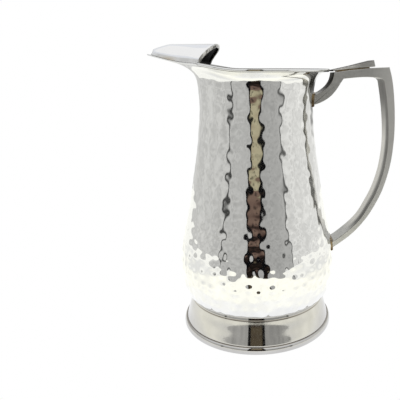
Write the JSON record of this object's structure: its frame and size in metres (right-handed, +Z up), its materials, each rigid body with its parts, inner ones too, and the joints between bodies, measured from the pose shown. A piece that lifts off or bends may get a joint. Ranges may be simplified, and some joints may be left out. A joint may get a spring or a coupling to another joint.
{
  "type": "water pitcher",
  "caption": "Hammered metal water pitcher with a flared foot, a cast loop handle with a thumb rest, and a hooded ice guard over a pulled spout.",
  "frame": {"origin": "centre of the foot, on the surface the pitcher stands on", "axes": "+Z up along the body's axis, -X towards the spout, +X towards the handle, XZ is the plane of symmetry"},
  "size_m": [0.2092, 0.1386, 0.25],
  "materials": {
    "hammered_steel": "mirror-polished, hammered all over",
    "polished_steel": "mirror-polished, smooth",
    "cast_satin": "cast, tumbled to a soft satin shine",
    "braze": "dull brazing metal, cleaned flush"
  },
  "bodies": {
    "root": {"body_shell": "hammered_steel", "rim_wire": "polished_steel", "ice_guard": "polished_steel", "ice_guard_hem": "polished_steel", "ice_guard_braze": "braze", "handle": "cast_satin", "handle_weld_upper": "braze", "handle_weld_lower": "braze", "thumb_rest": "cast_satin", "thumb_rest_braze": "braze", "foot_collar": "polished_steel", "foot_flare": "polished_steel", "foot_band": "polished_steel"}
  },
  "joints": []
}
